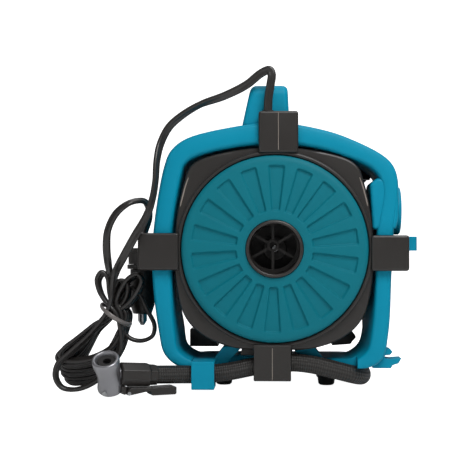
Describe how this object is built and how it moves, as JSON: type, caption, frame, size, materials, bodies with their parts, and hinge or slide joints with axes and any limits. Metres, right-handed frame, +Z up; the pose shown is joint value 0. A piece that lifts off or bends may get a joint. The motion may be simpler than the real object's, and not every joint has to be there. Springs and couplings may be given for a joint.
{
  "type": "portable air pump",
  "caption": "Vehicle-powered air pump in a carry frame with handle, fan inlet behind a ribbed cover, braided hose with lever tyre chuck, and a tied cord with plug.",
  "frame": {"origin": "on the standing surface, under the middle of the box of the pump without its cord", "axes": "+Z up, -Y towards the front where the ribbed cover is, +X to the right seen from the front"},
  "size_m": [0.2456, 0.172, 0.2156],
  "materials": {
    "teal_abs": "moulded ABS, satin",
    "cover_teal_abs": "moulded ABS, fine texture",
    "black_abs": "moulded ABS, satin",
    "black_rubber": "moulded rubber",
    "braided_rubber": "rubber hose with a woven cover",
    "cord_pvc": "extruded flexible PVC",
    "zinc_alloy": "die cast zinc, polished lip",
    "steel": "turned or stamped steel",
    "brass": "turned brass",
    "cast_aluminium": "die cast aluminium",
    "white_nylon": "moulded nylon",
    "dial_white": "painted disc",
    "needle_red": "painted pointer",
    "clear_polycarbonate": "clear moulded polycarbonate"
  },
  "bodies": {
    "pump": {"air_hose": "braided_rubber", "air_tube": "black_rubber", "carry_frame_front": "teal_abs", "carry_frame_rear": "teal_abs", "chuck_body": "zinc_alloy", "chuck_lever_pin": "steel", "chuck_seal": "black_rubber", "cord_gland": "black_rubber", "cord_hank": "cord_pvc", "cord_lead": "cord_pvc", "cord_tail": "cord_pvc", "cover_screw_1": "steel", "cover_screw_2": "steel", "cover_screw_3": "steel", "cylinder": "cast_aluminium", "cylinder_head": "cast_aluminium", "fan_plate": "black_abs", "foot_front_left": "black_rubber", "foot_front_right": "black_rubber", "foot_rear_left": "black_rubber", "foot_rear_right": "black_rubber", "front_bearing": "steel", "front_cover": "cover_teal_abs", "gauge_case": "black_abs", "gauge_dial": "dial_white", "gauge_lens": "clear_polycarbonate", "gear_axle": "steel", "gear_plate": "steel", "handle": "teal_abs", "hose_clip": "teal_abs", "hose_fitting": "black_abs", "hose_grip": "black_abs", "housing_left": "black_abs", "housing_right": "black_abs", "motor_can": "steel", "motor_end_cap": "black_abs", "outlet_barb": "brass", "plug_body": "black_abs", "plug_collar": "black_abs", "plug_contact_left": "steel", "plug_contact_right": "steel", "plug_nose": "black_abs", "port_collar": "black_abs", "port_grille": "black_abs", "rear_bearing": "steel", "rear_cover": "black_abs", "rear_housing": "black_abs", "switch_box": "black_abs", "valve_plate": "steel"},
    "rotor": {"impeller": "black_abs", "motor_shaft": "steel", "rotor_core": "steel", "pinion": "steel"},
    "crank": {"crank_gear": "white_nylon"},
    "piston": {"piston_rod": "cast_aluminium", "piston_cup": "black_rubber"},
    "needle": {"gauge_needle": "needle_red"},
    "knob": {"mode_knob": "teal_abs"},
    "lever": {"chuck_lever": "black_abs"},
    "tip": {"plug_tip": "steel"}
  },
  "joints": [
    {"name": "rotor_spin", "type": "hinge", "parent": "pump", "child": "rotor", "pos_m": [0.0079, 0.00635, 0.0955], "axis": [0, 1, 0], "continuous": true},
    {"name": "crank_spin", "type": "hinge", "parent": "pump", "child": "crank", "pos_m": [-0.0171, 0.05435, 0.0955], "axis": [0, 1, 0], "continuous": true},
    {"name": "rod_turn", "type": "hinge", "parent": "crank", "child": "piston", "pos_m": [-0.0146, 0.05935, 0.0955], "axis": [0, 1, 0], "continuous": true},
    {"name": "needle_swing", "type": "hinge", "parent": "pump", "child": "needle", "pos_m": [0.0829, -0.02965, 0.121], "axis": [-1, 0, 0], "range_deg": [0, 270]},
    {"name": "knob_turn", "type": "hinge", "parent": "pump", "child": "knob", "pos_m": [0.0879, 0.01035, 0.099], "axis": [1, 0, 0], "range_deg": [-60, 60]},
    {"name": "lever_flip", "type": "hinge", "parent": "pump", "child": "lever", "pos_m": [-0.08656, -0.06719, 0.0035], "axis": [-0.4067, 0.9135, 0], "range_deg": [0, 70]},
    {"name": "tip_press", "type": "slide", "parent": "pump", "child": "tip", "axis": [0, 0, 1], "range_m": [0, 0.0025], "stiffness_N_per_m": 400, "springref_m": -0.003}
  ],
  "couplings": [
    {"joint": "crank_spin", "follows": "rotor_spin", "ratio": -0.25},
    {"joint": "rod_turn", "follows": "rotor_spin", "ratio": 0.25}
  ]
}
